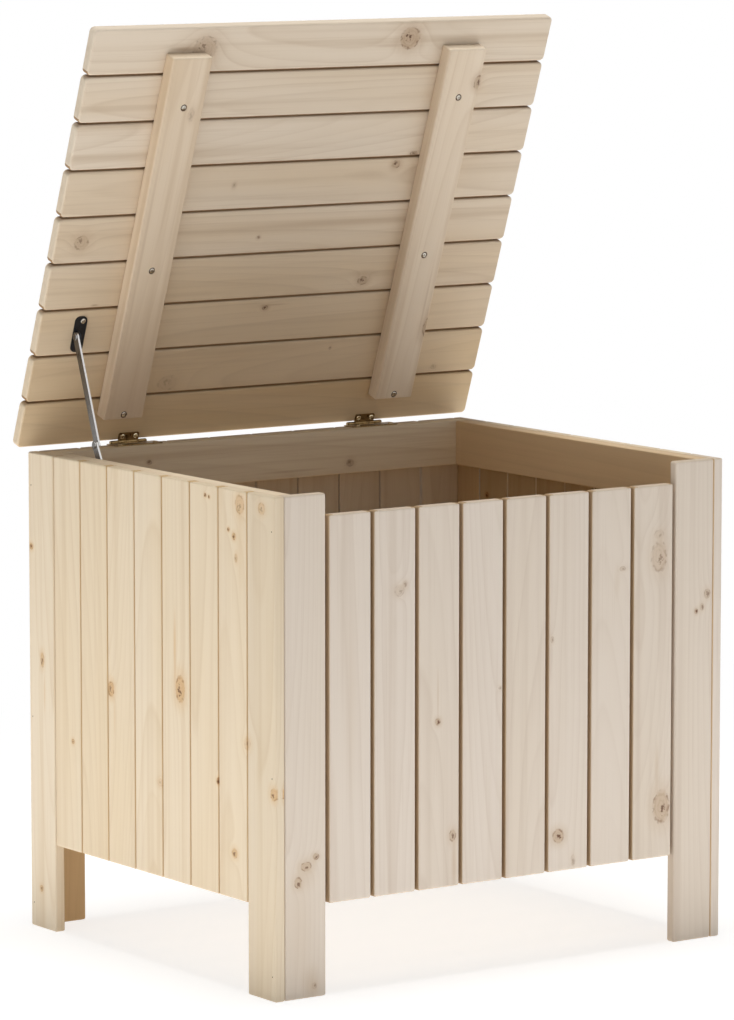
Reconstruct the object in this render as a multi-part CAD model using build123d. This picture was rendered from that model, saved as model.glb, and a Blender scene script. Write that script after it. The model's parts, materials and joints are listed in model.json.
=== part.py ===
from build123d import *
import math
import os

# Carcass: width along X, depth along Y with the front at -Y, height along Z
box_width = 580.0
box_depth = 478.0
wall_height = 522.0
foot_height = 96.0
board_thickness = 12.0
leg_board_width = 51.0
leg_edge_radius = 2.5
finger_gap = 23.0

# Wall slats
wide_slat_count = 8
front_slat_gap = 4.0
front_end_gap = 4.2
front_edge_radius = 2.2
back_slat_gap = 1.4
back_end_gap = 2.9
back_edge_radius = 1.5
side_slat_count = 7
side_slat_gap = 1.5
side_edge_radius = 2.0

# Rails inside the top edge, cleats inside the bottom edge, floor boards on the cleats;
# the front rail sits below the front slats' tops
rail_height = 50.0
rail_thickness = 16.0
rail_edge_radius = 1.5
front_rail_drop = 12.0
cleat_height = 30.0
cleat_lift = 2.0
floor_thickness = 12.0
floor_board_count = 8
floor_board_gap = 2.5
floor_margin = 1.0
floor_edge_radius = 1.5

# Brad nails through each leg's side board into the edge of its face board
nail_radius = 0.9
nail_length = 34.0
nail_sink = 0.4
nail_heights = (26.0, 232.0, 486.0)

# Lid: boards with round corners, each with a tongue that lies in a groove of the next
lid_width = 600.0
lid_depth = 486.0
lid_thickness = 12.0
lid_board_count = 9
lid_board_gap = 2.0
lid_edge_radius = 2.5
lid_corner_radius = 5.5
lid_gap = 3.0
lid_open_angle = 70.16
tongue_thickness = 4.0
tongue_bite = 3.0
tongue_setback = 14.0

# Battens under the lid, set in from the box's sides; screws sit at shares of a batten's length
# from its hinge end
batten_width = 50.0
batten_thickness = 16.0
batten_inset = 109.5
batten_rear_clearance = 2.0
batten_front_margin = 28.5
batten_edge_radius = 2.0
batten_screw_shares = (0.013, 0.4175, 0.865)

# Hinges: a wide leaf on the back rail, a narrow leaf under the lid
hinge_inset = 132.0
hinge_overhang = 5.2
hinge_lid_setback = 1.7
leaf_thickness = 1.2
box_leaf_width = 62.0
box_leaf_rail_cover = 7.5
box_leaf_corner = 4.0
box_leaf_screw_spacing = 45.0
box_leaf_screw_margin = 4.8
lid_leaf_width = 26.0
lid_leaf_depth = 10.5
lid_leaf_corner = 2.0
lid_leaf_screw_spacing = 17.0
lid_leaf_screw_margin = 4.2
knuckle_radius = 2.1
knuckle_length = 9.0
knuckle_end_gap = 0.3
hinge_pin_radius = 1.1
pin_head_radius = 1.7
pin_head_height = 0.8

# Folding lid stay on the left: lid bracket, upper arm, lower arm, box bracket
stay_lid_reach = 133.0
stay_lid_drop = 7.0
stay_box_reach = 134.6
stay_box_drop = 66.4
stay_lower_length = 90.0
stay_elbow_bend = 8.0
stay_arm_width = 9.0
stay_arm_thickness = 2.2
stay_eye_radius = 4.9
stay_rivet_radius = 2.0
stay_rivet_head_radius = 3.6
stay_rivet_head_height = 1.3
stay_rivet_rounding = 0.9
lid_bracket_length = 42.0
lid_bracket_width = 15.0
lid_bracket_thickness = 1.5
lid_bracket_corner = 6.0
lid_bracket_screw_spacing = 31.0
lid_bracket_screw_offset = 2.0
lid_bracket_overhang = 2.0
ear_radius = 6.0
box_bracket_width = 14.0
box_bracket_thickness = 2.0
box_bracket_top_margin = 6.0
box_bracket_screw_heights = (14.0, 34.0)

# Screws
batten_screw_radius = 1.9
batten_screw_head_radius = 4.0
batten_screw_bite = 8.0
batten_screw_sink = 0.6
small_screw_radius = 1.2
small_screw_head_radius = 2.6
small_screw_length = 9.0
stay_screw_radius = 1.5
stay_screw_head_radius = 3.1
stay_screw_length = 11.0
cross_slot_width = 0.9
cross_slot_share = 1.2
cross_depth_share = 0.8

# Clearances
fastener_clearance = 0.05
running_clearance = 0.05
arm_clearance = 0.4
bracket_clearance = 0.6
slot_play = 0.6
tongue_clearance = 0.3
cut_overshoot = 1.0

# Faces of the carcass that other pieces share
half_width = box_width / 2
half_depth = box_depth / 2
inner_x = half_width - board_thickness
inner_y = half_depth - board_thickness
rail_x = inner_x - rail_thickness
rail_y = inner_y - rail_thickness
rail_bottom = wall_height - rail_height
front_top = wall_height - finger_gap
front_rail_top = front_top - front_rail_drop
cleat_bottom = foot_height + cleat_lift
floor_bottom = cleat_bottom + cleat_height
lid_underside = wall_height + lid_gap

# Hinge line, the shut lid's hinge edge, and what is spaced along the hinge line
hinge_y = half_depth + hinge_overhang
hinge_z = wall_height + lid_gap / 2
lid_rear = hinge_y - hinge_lid_setback
lid_front = lid_rear - lid_depth
hinge_spacing = box_width - 2 * hinge_inset
batten_spacing = box_width - 2 * batten_inset

# Stay layers from the left rail inwards
box_bracket_x = -rail_x
lower_arm_x = box_bracket_x + box_bracket_thickness + bracket_clearance
upper_arm_x = lower_arm_x + stay_arm_thickness + arm_clearance
ear_x = upper_arm_x + stay_arm_thickness + arm_clearance

# Seats a shape's top or bottom at zero
top_at_zero = (Align.CENTER, Align.CENTER, Align.MAX)
bottom_at_zero = (Align.CENTER, Align.CENTER, Align.MIN)


def board(x_span, y_span, z_span, radius):
    """Makes a board between two limits on each axis, with every edge rounded."""
    spans = (x_span, y_span, z_span)
    sizes = [high - low for low, high in spans]
    middle = [(low + high) / 2 for low, high in spans]
    return Pos(*middle) * fillet(Box(*sizes).edges(), radius)


def mirrored(span):
    """Gives the span on the other side of zero."""
    return (-span[1], -span[0])


def rod(radius, start, direction, length):
    """Makes a round rod from a start point along a direction."""
    return extrude(Plane(start, z_dir=direction) * Circle(radius), length)


def screw_blank(radius, head_radius, length, growth=0.0):
    """Makes a countersunk screw along -Z with its head's top at zero; growth gives its hole."""
    head = Cone(radius + growth, head_radius + growth, head_radius - radius, align=top_at_zero)
    shank = Cylinder(radius + growth, length + growth, align=top_at_zero)
    return head + shank


def screw(radius, head_radius, length):
    """Makes a countersunk screw with a cross recess in its head."""
    body = screw_blank(radius, head_radius, length)
    slot_length = head_radius * cross_slot_share
    slot_depth = (head_radius - radius) * cross_depth_share
    body -= Box(slot_length, cross_slot_width, slot_depth, align=top_at_zero)
    body -= Box(cross_slot_width, slot_length, slot_depth, align=top_at_zero)
    return body


def screw_hole(radius, head_radius, length, sink=0.0):
    """Makes the cutter for a screw, with the round pocket above a sunk head."""
    hole = screw_blank(radius, head_radius, length, fastener_clearance)
    pocket = Cylinder(head_radius + fastener_clearance, sink + fastener_clearance, align=bottom_at_zero)
    return hole + pocket


def swing_lid(shape):
    """Turns a piece of the shut lid about the hinge line to the open pose."""
    return Pos(0, hinge_y, hinge_z) * Rot(-lid_open_angle, 0, 0) * Pos(0, -hinge_y, -hinge_z) * shape


def row_spans(start, end, count, gap):
    """Divides a run into equal spans with a gap between neighbours."""
    width = (end - start - gap * (count - 1)) / count
    return [(start + i * (width + gap), start + i * (width + gap) + width) for i in range(count)]


def legs():
    """Makes each corner post as two boards butted in an L, and the nails that join them."""
    face_x = (inner_x - leg_board_width, inner_x)
    side_x = (inner_x, half_width)
    face_y = (inner_y, half_depth)
    side_y = (half_depth - leg_board_width, half_depth)
    full_height = (0, wall_height)
    hole_radius = nail_radius + fastener_clearance
    hole_depth = nail_sink + nail_length + fastener_clearance
    nodes = {}
    nails = []
    for side, x_sign in (("left", -1), ("right", 1)):
        for end, y_sign in (("front", -1), ("back", 1)):
            xs = [span if x_sign > 0 else mirrored(span) for span in (face_x, side_x)]
            ys = [span if y_sign > 0 else mirrored(span) for span in (face_y, side_y)]
            face = board(xs[0], ys[0], full_height, leg_edge_radius)
            flank = board(xs[1], ys[1], full_height, side_edge_radius)
            for height in nail_heights:
                outside = (x_sign * half_width, y_sign * (half_depth - board_thickness / 2), height)
                sunk = (x_sign * (half_width - nail_sink), outside[1], height)
                inward = (-x_sign, 0, 0)
                hole = rod(hole_radius, outside, inward, hole_depth)
                face -= hole
                flank -= hole
                nails.append(rod(nail_radius, sunk, inward, nail_length))
            nodes[f"leg_{end}_{side}_face"] = face
            nodes[f"leg_{end}_{side}_side"] = flank
    nodes["leg_nails"] = Compound(nails)
    return nodes


def wall_slats():
    """Makes the upright slats of the four walls, between the legs."""
    opening = inner_x - leg_board_width
    front_run = opening - front_end_gap
    back_run = opening - back_end_gap
    front_spans = row_spans(-front_run, front_run, wide_slat_count, front_slat_gap)
    back_spans = row_spans(-back_run, back_run, wide_slat_count, back_slat_gap)
    run = half_depth - leg_board_width - side_slat_gap
    side_spans = row_spans(-run, run, side_slat_count, side_slat_gap)
    front_z = (foot_height, front_top)
    full_z = (foot_height, wall_height)
    wall_x = (inner_x, half_width)
    wall_y = (inner_y, half_depth)
    nodes = {}
    for number, span in enumerate(front_spans, 1):
        nodes[f"front_slat_{number}"] = board(span, mirrored(wall_y), front_z, front_edge_radius)
    for number, span in enumerate(side_spans, 1):
        nodes[f"left_slat_{number}"] = board(mirrored(wall_x), span, full_z, side_edge_radius)
    right = [board(wall_x, span, full_z, side_edge_radius) for span in side_spans]
    back = [board(span, wall_y, full_z, back_edge_radius) for span in back_spans]
    nodes["right_slats"] = Compound(right)
    nodes["back_slats"] = Compound(back)
    return nodes


def rails_and_floor():
    """Makes the rails and cleats that the slats are fixed to, and the floor boards."""
    rail_z = (rail_bottom, wall_height)
    front_rail_z = (front_rail_top - rail_height, front_rail_top)
    cleat_z = (cleat_bottom, floor_bottom)
    side_run = (-inner_y, rail_y)
    side_x = (rail_x, inner_x)
    back_y = (rail_y, inner_y)
    back_x = (-inner_x, inner_x)
    front_x = (-rail_x, rail_x)
    nodes = {
        "top_rail_back": board(back_x, back_y, rail_z, rail_edge_radius),
        "top_rail_left": board(mirrored(side_x), side_run, rail_z, rail_edge_radius),
        "top_rail_right": board(side_x, side_run, rail_z, rail_edge_radius),
        "top_rail_front": board(front_x, mirrored(back_y), front_rail_z, rail_edge_radius),
    }
    cleats = [
        board(back_x, back_y, cleat_z, rail_edge_radius),
        board(mirrored(side_x), side_run, cleat_z, rail_edge_radius),
        board(side_x, side_run, cleat_z, rail_edge_radius),
        board(front_x, mirrored(back_y), cleat_z, rail_edge_radius),
    ]
    nodes["floor_cleats"] = Compound(cleats)
    floor_x = (floor_margin - inner_x, inner_x - floor_margin)
    floor_z = (floor_bottom, floor_bottom + floor_thickness)
    floor_run = inner_y - floor_margin
    floor_rows = row_spans(-floor_run, floor_run, floor_board_count, floor_board_gap)
    planks = [board(floor_x, span, floor_z, floor_edge_radius) for span in floor_rows]
    nodes["floor_boards"] = Compound(planks)
    return nodes


def lid_board(span):
    """Makes one plain board of the shut lid, round at its corners and along its edges."""
    blank = Box(lid_width, span[1] - span[0], lid_thickness)
    blank = fillet(blank.edges().filter_by(Axis.Z), lid_corner_radius)
    eased = fillet(blank.faces().filter_by(Axis.Z).edges(), lid_edge_radius)
    return Pos(0, (span[0] + span[1]) / 2, lid_underside + lid_thickness / 2) * eased


def lid_boards():
    """Makes the shut lid's boards from the hinge edge out, each with a tongue in the next."""
    rows = row_spans(lid_front, lid_rear, lid_board_count, lid_board_gap)
    rows.reverse()
    boards = [lid_board(span) for span in rows]
    middle_z = lid_underside + lid_thickness / 2
    tongue_length = lid_width - 2 * tongue_setback
    tongue_reach = lid_board_gap + tongue_bite
    tongue = Box(tongue_length, tongue_reach + cut_overshoot, tongue_thickness)
    groove_length = tongue_length + 2 * tongue_clearance
    groove_reach = tongue_reach + tongue_clearance
    groove = Box(groove_length, groove_reach, tongue_thickness + 2 * tongue_clearance)
    for index in range(1, lid_board_count):
        edge_y = rows[index - 1][0]
        boards[index - 1] += Pos(0, edge_y + (cut_overshoot - tongue_reach) / 2, middle_z) * tongue
        boards[index] -= Pos(0, edge_y - groove_reach / 2, middle_z) * groove
    return boards


def lid():
    """Makes the shut lid's boards, its two battens and the screws that hold them."""
    boards = lid_boards()
    batten_y = (lid_front + batten_front_margin, rail_y - batten_rear_clearance)
    batten_z = (lid_underside - batten_thickness, lid_underside)
    batten_length = batten_y[1] - batten_y[0]
    screw_length = batten_thickness - batten_screw_sink + batten_screw_bite
    hole = screw_hole(batten_screw_radius, batten_screw_head_radius, screw_length, batten_screw_sink)
    nodes = {}
    screws = []
    for side, sign in (("left", -1), ("right", 1)):
        middle = sign * batten_spacing / 2
        batten_x = (middle - batten_width / 2, middle + batten_width / 2)
        batten = board(batten_x, batten_y, batten_z, batten_edge_radius)
        for share in batten_screw_shares:
            seat_y = batten_y[1] - share * batten_length
            seat = Pos(middle, seat_y, batten_z[0] + batten_screw_sink) * Rot(180, 0, 0)
            batten -= seat * hole
            cut_boards(boards, seat * hole)
            screws.append(seat * screw(batten_screw_radius, batten_screw_head_radius, screw_length))
        nodes[f"lid_batten_{side}"] = batten
    nodes["batten_screws"] = Compound(screws)
    return boards, nodes


def cut_boards(boards, cutter):
    """Cuts a hole in whichever of the lid's boards it meets."""
    for index, plank in enumerate(boards):
        boards[index] = plank - cutter


def hinge_leaf(width, depth, corner, low_z):
    """Makes a flat leaf that reaches forward from the hinge line, with its front corners rounded."""
    plate = Pos(0, hinge_y - depth / 2, low_z) * extrude(Rectangle(width, depth), leaf_thickness)
    front_edges = plate.edges().filter_by(Axis.Z).group_by(Axis.Y)[0]
    return fillet(front_edges, corner)


def knuckle(start_x, length):
    """Makes one rolled knuckle round the hinge line."""
    return rod(knuckle_radius, (start_x, hinge_y, hinge_z), (1, 0, 0), length)


def hinges(rail, boards):
    """Makes both hinges, with their screws, and cuts the screw holes in the back rail and the lid."""
    box_leaf_depth = hinge_y - inner_y + box_leaf_rail_cover
    lid_half = lid_leaf_width / 2
    barrel_half = lid_half + knuckle_end_gap + knuckle_length
    pin_hole_radius = hinge_pin_radius + running_clearance
    pin_hole_half = barrel_half + cut_overshoot
    pin_hole = rod(pin_hole_radius, (-pin_hole_half, hinge_y, hinge_z), (1, 0, 0), 2 * pin_hole_half)
    cut_height = 2 * (leaf_thickness + cut_overshoot)
    notch_width = lid_leaf_width + 2 * knuckle_end_gap
    notch_depth = lid_leaf_depth + knuckle_end_gap
    notch = Pos(0, hinge_y - notch_depth / 2, wall_height) * Box(notch_width, notch_depth, cut_height)
    wing_cut_width = box_leaf_width / 2 - barrel_half
    wing_cut = Box(wing_cut_width, hinge_overhang, cut_height)
    box_leaf = hinge_leaf(box_leaf_width, box_leaf_depth, box_leaf_corner, wall_height) - notch
    for sign in (-1, 1):
        wing_x = sign * (box_leaf_width - wing_cut_width) / 2
        box_leaf -= Pos(wing_x, hinge_y - hinge_overhang / 2, wall_height) * wing_cut
        start = barrel_half - knuckle_length if sign > 0 else -barrel_half
        box_leaf += knuckle(start, knuckle_length)
    box_leaf -= pin_hole
    lid_leaf = hinge_leaf(lid_leaf_width, lid_leaf_depth, lid_leaf_corner, lid_underside - leaf_thickness)
    lid_leaf += knuckle(-lid_half, lid_leaf_width)
    lid_leaf -= pin_hole
    pin_half = barrel_half + knuckle_end_gap
    pin = rod(hinge_pin_radius, (-pin_half, hinge_y, hinge_z), (1, 0, 0), 2 * pin_half)
    for sign in (-1, 1):
        pin += rod(pin_head_radius, (sign * pin_half, hinge_y, hinge_z), (sign, 0, 0), pin_head_height)

    one_screw = screw(small_screw_radius, small_screw_head_radius, small_screw_length)
    one_hole = screw_hole(small_screw_radius, small_screw_head_radius, small_screw_length)
    box_seat_y = inner_y - box_leaf_rail_cover + box_leaf_screw_margin
    lid_seat_y = hinge_y - lid_leaf_depth + lid_leaf_screw_margin
    box_seat_x = box_leaf_screw_spacing / 2
    lid_seat_x = lid_leaf_screw_spacing / 2
    box_seat_z = wall_height + leaf_thickness
    lid_seat_z = lid_underside - leaf_thickness
    box_seats = [Pos(x, box_seat_y, box_seat_z) for x in (-box_seat_x, box_seat_x)]
    lid_seats = [Pos(x, lid_seat_y, lid_seat_z) * Rot(180, 0, 0) for x in (-lid_seat_x, lid_seat_x)]
    nodes = {}
    pins = []
    box_screws = []
    lid_screws = []
    for seat in box_seats:
        box_leaf -= seat * one_hole
    for seat in lid_seats:
        lid_leaf -= seat * one_hole
    for side, sign in (("left", -1), ("right", 1)):
        place = Pos(sign * hinge_spacing / 2, 0, 0)
        nodes[f"hinge_box_leaf_{side}"] = place * box_leaf
        nodes[f"hinge_lid_leaf_{side}"] = place * lid_leaf
        pins.append(place * pin)
        for seat in box_seats:
            rail -= place * seat * one_hole
            box_screws.append(place * seat * one_screw)
        for seat in lid_seats:
            boards[0] -= place * seat * one_hole
            lid_screws.append(place * seat * one_screw)
    nodes["hinge_pins"] = Compound(pins)
    nodes["hinge_box_screws"] = Compound(box_screws)
    nodes["hinge_lid_screws"] = Compound(lid_screws)
    return rail, nodes


def turned(point, angle):
    """Turns a point in the YZ plane about the hinge line, in degrees."""
    y, z = point[0] - hinge_y, point[1] - hinge_z
    cos, sin = math.cos(math.radians(angle)), math.sin(math.radians(angle))
    return (hinge_y + cos * y - sin * z, hinge_z + sin * y + cos * z)


def heading(start, end):
    """Gives the direction from one point to another in the YZ plane, in degrees."""
    return math.degrees(math.atan2(end[1] - start[1], end[0] - start[0]))


def stepped(start, angle, length):
    """Moves a point in the YZ plane along a heading."""
    run = math.radians(angle)
    return (start[0] + length * math.cos(run), start[1] + length * math.sin(run))


def halfway(start, end):
    """Gives the middle of two points in the YZ plane."""
    return ((start[0] + end[0]) / 2, (start[1] + end[1]) / 2)


def wrapped(angle):
    """Brings a turn into the half circle either side of zero, in degrees."""
    return (angle + 180) % 360 - 180


def stay_points():
    """Gives the stay's lid pivot, elbow and box pivot in the YZ plane, with the lid open."""
    shut_pivot = (lid_rear - stay_lid_reach, lid_underside - stay_lid_drop)
    lid_pivot = turned(shut_pivot, -lid_open_angle)
    box_pivot = (hinge_y - stay_box_reach, wall_height - stay_box_drop)
    span = math.dist(lid_pivot, box_pivot)
    bend = math.radians(stay_elbow_bend)
    off_line = stay_lower_length * math.sin(bend)
    upper_length = math.sqrt(span ** 2 - off_line ** 2) - stay_lower_length * math.cos(bend)
    lean = math.degrees(math.asin(upper_length * math.sin(bend) / span))
    elbow = stepped(box_pivot, heading(box_pivot, lid_pivot) - lean, stay_lower_length)
    return shut_pivot, lid_pivot, elbow, box_pivot


def stay_turns():
    """Gives, from open to shut, the upper arm's turn on the lid and the lower arm's on the upper."""
    shut_pivot, lid_pivot, elbow, box_pivot = stay_points()
    upper_length = math.dist(lid_pivot, elbow)
    span = math.dist(shut_pivot, box_pivot)
    lean_cosine = (upper_length ** 2 + span ** 2 - stay_lower_length ** 2) / (2 * upper_length * span)
    lean = math.degrees(math.acos(lean_cosine))
    shut_elbow = stepped(shut_pivot, heading(shut_pivot, box_pivot) + lean, upper_length)
    upper_turn = wrapped(heading(shut_pivot, shut_elbow) - heading(lid_pivot, elbow))
    lower_turn = wrapped(heading(box_pivot, shut_elbow) - heading(box_pivot, elbow))
    return upper_turn - lid_open_angle, lower_turn - upper_turn


def pin_at(share):
    """Gives the lower arm's pin when the lid has made that share of its way to shut."""
    _, lid_pivot, elbow, box_pivot = stay_points()
    on_lid, on_upper = stay_turns()
    pivot = turned(lid_pivot, share * lid_open_angle)
    upper_turn = share * (lid_open_angle + on_lid)
    joint = stepped(pivot, heading(lid_pivot, elbow) + upper_turn, math.dist(lid_pivot, elbow))
    return stepped(joint, heading(elbow, box_pivot) + upper_turn + share * on_upper, stay_lower_length)


def side_plane(low_x, point, angle):
    """Gives a plane that faces +X at a YZ point, with its own X along a heading."""
    run = math.radians(angle)
    return Plane((low_x, *point), x_dir=(0, math.cos(run), math.sin(run)), z_dir=(1, 0, 0))


def stay_arm(start, end, low_x, start_hole, end_hole):
    """Makes a flat arm between two pivots, with a round eye and a hole at each."""
    plane = side_plane(low_x, halfway(start, end), heading(start, end))
    arm = extrude(plane * SlotCenterToCenter(math.dist(start, end), stay_arm_width), stay_arm_thickness)
    for point in (start, end):
        arm += rod(stay_eye_radius, (low_x, *point), (1, 0, 0), stay_arm_thickness)
    for point, radius in ((start, start_hole), (end, end_hole)):
        arm -= through_hole(radius, low_x, point, stay_arm_thickness)
    return arm


def through_hole(radius, low_x, point, thickness):
    """Makes the cutter for a round hole along X right through a plate."""
    return rod(radius, (low_x - cut_overshoot, *point), (1, 0, 0), thickness + 2 * cut_overshoot)


def rivet(low_x, high_x, point):
    """Makes a rivet along X between two outer faces, with a low round head on each."""
    body = rod(stay_rivet_radius, (low_x, *point), (1, 0, 0), high_x - low_x)
    for face_x, direction in ((low_x, -1), (high_x, 1)):
        head = rod(stay_rivet_head_radius, (face_x, *point), (direction, 0, 0), stay_rivet_head_height)
        rim = head.edges().sort_by(Axis.X)[-1 if direction > 0 else 0]
        body += fillet(rim, stay_rivet_rounding)
    return body


def lid_stay(rail, boards):
    """Makes the folding stay, and cuts its screw holes in the left rail and the lid."""
    shut_pivot, lid_pivot, elbow, box_pivot = stay_points()
    snug = stay_rivet_radius + fastener_clearance
    loose = stay_rivet_radius + running_clearance
    stay_screw = screw(stay_screw_radius, stay_screw_head_radius, stay_screw_length)
    stay_hole = screw_hole(stay_screw_radius, stay_screw_head_radius, stay_screw_length)

    plate_z = lid_underside - lid_bracket_thickness
    plate_x = ear_x - lid_bracket_overhang + lid_bracket_width / 2
    plate_middle = Pos(plate_x, shut_pivot[0], plate_z)
    plate_outline = RectangleRounded(lid_bracket_width, lid_bracket_length, lid_bracket_corner)
    plate = plate_middle * extrude(plate_outline, lid_bracket_thickness)
    ear_height = lid_underside - shut_pivot[1]
    ear_corner = (Align.MIN, Align.CENTER, Align.MIN)
    ear = Box(lid_bracket_thickness, 2 * ear_radius, ear_height, align=ear_corner)
    ear = Pos(ear_x, *shut_pivot) * ear
    ear += rod(ear_radius, (ear_x, *shut_pivot), (1, 0, 0), lid_bracket_thickness)
    bracket = plate + ear - through_hole(snug, ear_x, shut_pivot, lid_bracket_thickness)
    lid_screws = []
    for sign in (-1, 1):
        along = sign * lid_bracket_screw_spacing / 2
        seat = plate_middle * Pos(lid_bracket_screw_offset, along, 0) * Rot(180, 0, 0)
        bracket -= seat * stay_hole
        cut_boards(boards, seat * stay_hole)
        lid_screws.append(seat * stay_screw)

    far_pin = pin_at(0.5)
    slot_length = math.dist(box_pivot, far_pin)
    slot_plane = side_plane(box_bracket_x, halfway(box_pivot, far_pin), heading(box_pivot, far_pin))
    low_z = box_pivot[1] - box_bracket_width / 2
    high_z = wall_height - box_bracket_top_margin
    strap_plane = side_plane(box_bracket_x, (box_pivot[0], (low_z + high_z) / 2), 90)
    strap = strap_plane * SlotOverall(high_z - low_z, box_bracket_width)
    slot_bar = slot_plane * SlotCenterToCenter(slot_length, box_bracket_width)
    box_bracket = extrude(strap, box_bracket_thickness) + extrude(slot_bar, box_bracket_thickness)
    pin_slot = SlotCenterToCenter(slot_length, 2 * (stay_rivet_radius + slot_play))
    slot_cut = slot_plane.offset(-cut_overshoot) * pin_slot
    box_bracket -= extrude(slot_cut, box_bracket_thickness + 2 * cut_overshoot)
    box_screws = []
    for depth in box_bracket_screw_heights:
        seat_x = box_bracket_x + box_bracket_thickness
        seat = Pos(seat_x, box_pivot[0], wall_height - depth) * Rot(0, 90, 0)
        box_bracket -= seat * stay_hole
        rail -= seat * stay_hole
        box_screws.append(seat * stay_screw)

    upper = stay_arm(lid_pivot, elbow, upper_arm_x, loose, snug)
    lower = stay_arm(elbow, box_pivot, lower_arm_x, loose, snug)
    lid_rivet = rivet(upper_arm_x - running_clearance, ear_x + lid_bracket_thickness, shut_pivot)
    elbow_rivet = rivet(lower_arm_x - running_clearance, upper_arm_x + stay_arm_thickness, elbow)
    box_rivet = rivet(box_bracket_x - bracket_clearance, lower_arm_x + stay_arm_thickness, box_pivot)
    lid_nodes = {
        "stay_lid_bracket": bracket,
        "stay_lid_rivet": lid_rivet,
        "stay_lid_screws": Compound(lid_screws),
    }
    fixed_nodes = {
        "stay_box_bracket": box_bracket,
        "stay_box_screws": Compound(box_screws),
        "stay_upper_arm": upper,
        "stay_elbow_rivet": elbow_rivet,
        "stay_lower_arm": lower,
        "stay_box_rivet": box_rivet,
    }
    return rail, lid_nodes, fixed_nodes


def assemble():
    """Builds every piece with the lid open, in a frame centred on the box."""
    nodes = {**legs(), **wall_slats(), **rails_and_floor()}
    boards, lid_nodes = lid()
    nodes["top_rail_back"], hinge_nodes = hinges(nodes["top_rail_back"], boards)
    nodes["top_rail_left"], stay_lid_nodes, stay_nodes = lid_stay(nodes["top_rail_left"], boards)
    lid_nodes.update(stay_lid_nodes)
    for name, leaf in hinge_nodes.items():
        (lid_nodes if "_lid_" in name else nodes)[name] = leaf
    for number, plank in enumerate(boards, 1):
        lid_nodes[f"lid_board_{number}"] = plank
    nodes.update(stay_nodes)
    nodes.update({name: swing_lid(shape) for name, shape in lid_nodes.items()})
    return nodes


def origin_shift(nodes):
    """Gives the move along Y that centres the whole object's footprint on the origin."""
    spans = [shape.bounding_box() for shape in nodes.values()]
    return -(min(span.min.Y for span in spans) + max(span.max.Y for span in spans)) / 2


def main():
    """Writes one file for each named piece."""
    os.makedirs("parts", exist_ok=True)
    nodes = assemble()
    shift = origin_shift(nodes)
    for name, shape in nodes.items():
        export_step(Pos(0, shift, 0) * shape, f"parts/{name}.step")
    shut_pivot, lid_pivot, elbow, box_pivot = stay_points()
    print(f"pieces {len(nodes)}, shift along Y {shift:.4f}")
    print(f"hinge line y {hinge_y + shift:.4f} z {hinge_z:.4f}")
    print("stay turns {:.4f} {:.4f}".format(*stay_turns()))
    pivots = {"lid pivot": lid_pivot, "elbow": elbow, "box pivot": box_pivot, "shut lid pivot": shut_pivot}
    for label, point in pivots.items():
        print(f"{label} y {point[0] + shift:.4f} z {point[1]:.4f}")


if __name__ == "__main__":
    main()
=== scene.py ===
"""A slatted pine toy box with its lid open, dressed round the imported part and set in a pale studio."""

import json
import logging
import math
import random
from dataclasses import dataclass, field, replace
from enum import Enum
from typing import Any, Iterable, Mapping, Optional, Sequence, Union

import bpy
from mathutils import Matrix, Vector

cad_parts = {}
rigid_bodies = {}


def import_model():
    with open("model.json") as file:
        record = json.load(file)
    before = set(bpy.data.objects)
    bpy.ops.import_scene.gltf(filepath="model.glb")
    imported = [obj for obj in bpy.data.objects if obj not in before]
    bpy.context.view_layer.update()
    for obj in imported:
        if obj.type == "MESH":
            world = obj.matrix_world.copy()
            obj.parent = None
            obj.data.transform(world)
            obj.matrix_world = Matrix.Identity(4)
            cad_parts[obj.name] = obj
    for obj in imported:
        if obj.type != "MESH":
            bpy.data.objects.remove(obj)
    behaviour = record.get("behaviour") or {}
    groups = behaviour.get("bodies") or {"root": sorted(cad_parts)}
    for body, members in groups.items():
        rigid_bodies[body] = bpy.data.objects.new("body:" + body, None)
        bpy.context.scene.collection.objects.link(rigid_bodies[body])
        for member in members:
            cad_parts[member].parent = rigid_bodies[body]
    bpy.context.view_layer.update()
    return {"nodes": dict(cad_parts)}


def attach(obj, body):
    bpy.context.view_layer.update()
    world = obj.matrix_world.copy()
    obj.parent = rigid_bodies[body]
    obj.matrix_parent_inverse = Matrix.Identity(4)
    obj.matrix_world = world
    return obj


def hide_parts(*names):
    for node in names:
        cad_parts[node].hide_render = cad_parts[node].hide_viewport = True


LOG = logging.getLogger("toy_box")

MM = 0.001
LID_ANGLE = math.radians(70.16)
LID_RISE = (0.0, -math.cos(LID_ANGLE), math.sin(LID_ANGLE))
WALL_SHIFT = -8.3108

Piece = bpy.types.Object
Socket = bpy.types.NodeSocket
Colour = tuple[float, float, float, float]
Triple = tuple[float, float, float]
Pair = tuple[float, float]

WHITE: Colour = (1.0, 1.0, 1.0, 1.0)
BOTH_SIDES = (-1, 1)

# Depths below a board's face, end or edge, from where a tone starts to where it is full; the inner-face,
# joined-edge and hole depths bound painted shade
KNOT_SKIN: Pair = (4.5 * MM, 2.0 * MM)
SAWN_END: Pair = (1.8 * MM, 0.3 * MM)
INNER_FACE: Pair = (1.4 * MM, 0.3 * MM)
BELOW_FACE: Pair = (0.3 * MM, 1.2 * MM)
JOINED_EDGE: Pair = (5.6 * MM, 4.6 * MM)
HOLE_FROM_EDGE: Pair = (3.0 * MM, 5.0 * MM)
HOLE_FROM_END: Pair = (0.8 * MM, 1.2 * MM)


def paint(red: float, green: float, blue: float) -> Colour:
    """Turns a screen's colour, of 0 to 255, into the linear one that a shader takes."""
    linear = []
    for level in (red, green, blue):
        share = level / 255
        linear.append(share / 12.92 if share <= 0.04045 else ((share + 0.055) / 1.055) ** 2.4)
    return (linear[0], linear[1], linear[2], 1.0)


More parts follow.
